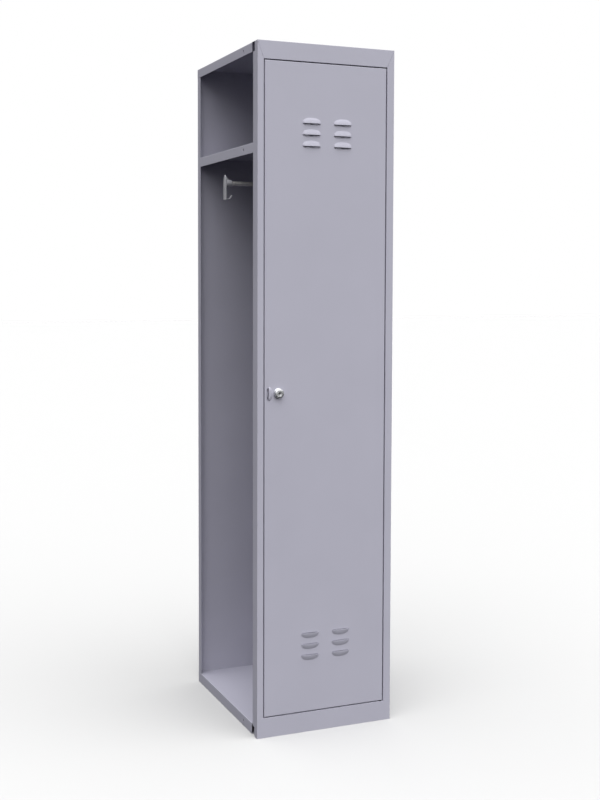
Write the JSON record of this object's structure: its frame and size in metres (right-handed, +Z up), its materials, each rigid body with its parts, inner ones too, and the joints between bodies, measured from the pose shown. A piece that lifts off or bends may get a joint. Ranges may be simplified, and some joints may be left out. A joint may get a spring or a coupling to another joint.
{
  "type": "locker cabinet",
  "caption": "Tall steel wardrobe locker, add-on section open on its left side, with a hat shelf, clothes rail, louvred door on concealed pivots and a quarter-turn cam lock.",
  "frame": {"origin": "bottom centre of the closed locker's box, lock collar included: on the floor, midway between the sides, midway between the lock's face and the back", "axes": "+Z up, the door faces -Y, the open joining side is at -X and the door's pivots are at +X"},
  "size_m": [0.4, 0.51, 1.86],
  "materials": {
    "powder_coat": "light lavender grey powder coat, satin",
    "zinc_steel": "zinc-plated steel",
    "grey_plastic": "light grey moulded plastic, satin",
    "black_plastic": "black moulded plastic, satin",
    "chrome": "polished chrome on die-cast zinc",
    "black_rubber": "matt black rubber"
  },
  "bodies": {
    "carcass": {"left_stile": "powder_coat", "right_stile": "powder_coat", "top_rail": "powder_coat", "bottom_rail": "powder_coat", "right_side_panel": "powder_coat", "back_panel": "powder_coat", "roof_panel": "powder_coat", "floor_panel": "powder_coat", "hat_shelf": "powder_coat", "hanger_rod": "zinc_steel", "rod_bracket_left": "grey_plastic", "rod_bracket_right": "grey_plastic", "bracket_screw_upper": "zinc_steel", "bracket_screw_lower": "zinc_steel", "upper_hinge_pin": "zinc_steel", "lower_hinge_pin": "zinc_steel", "door_buffer_upper": "black_rubber", "door_buffer_lower": "black_rubber"},
    "door": {"door_panel": "powder_coat", "door_stiffener": "powder_coat", "upper_hinge_bush": "black_plastic", "lower_hinge_bush": "black_plastic", "upper_hinge_plate": "zinc_steel", "lower_hinge_plate": "zinc_steel", "lock_housing": "chrome", "lock_nut": "zinc_steel"},
    "lock": {"lock_plug": "chrome", "lock_cam": "zinc_steel", "cam_nut": "zinc_steel"}
  },
  "joints": [
    {"name": "door_hinge", "type": "hinge", "parent": "carcass", "child": "door", "pos_m": [0.1699, -0.239, 0.93], "axis": [0, 0, 1], "range_deg": [0, 105]},
    {"name": "lock_turn", "type": "hinge", "parent": "door", "child": "lock", "pos_m": [-0.14, -0.245, 0.932], "axis": [0, -1, 0], "range_deg": [0, 90]}
  ]
}
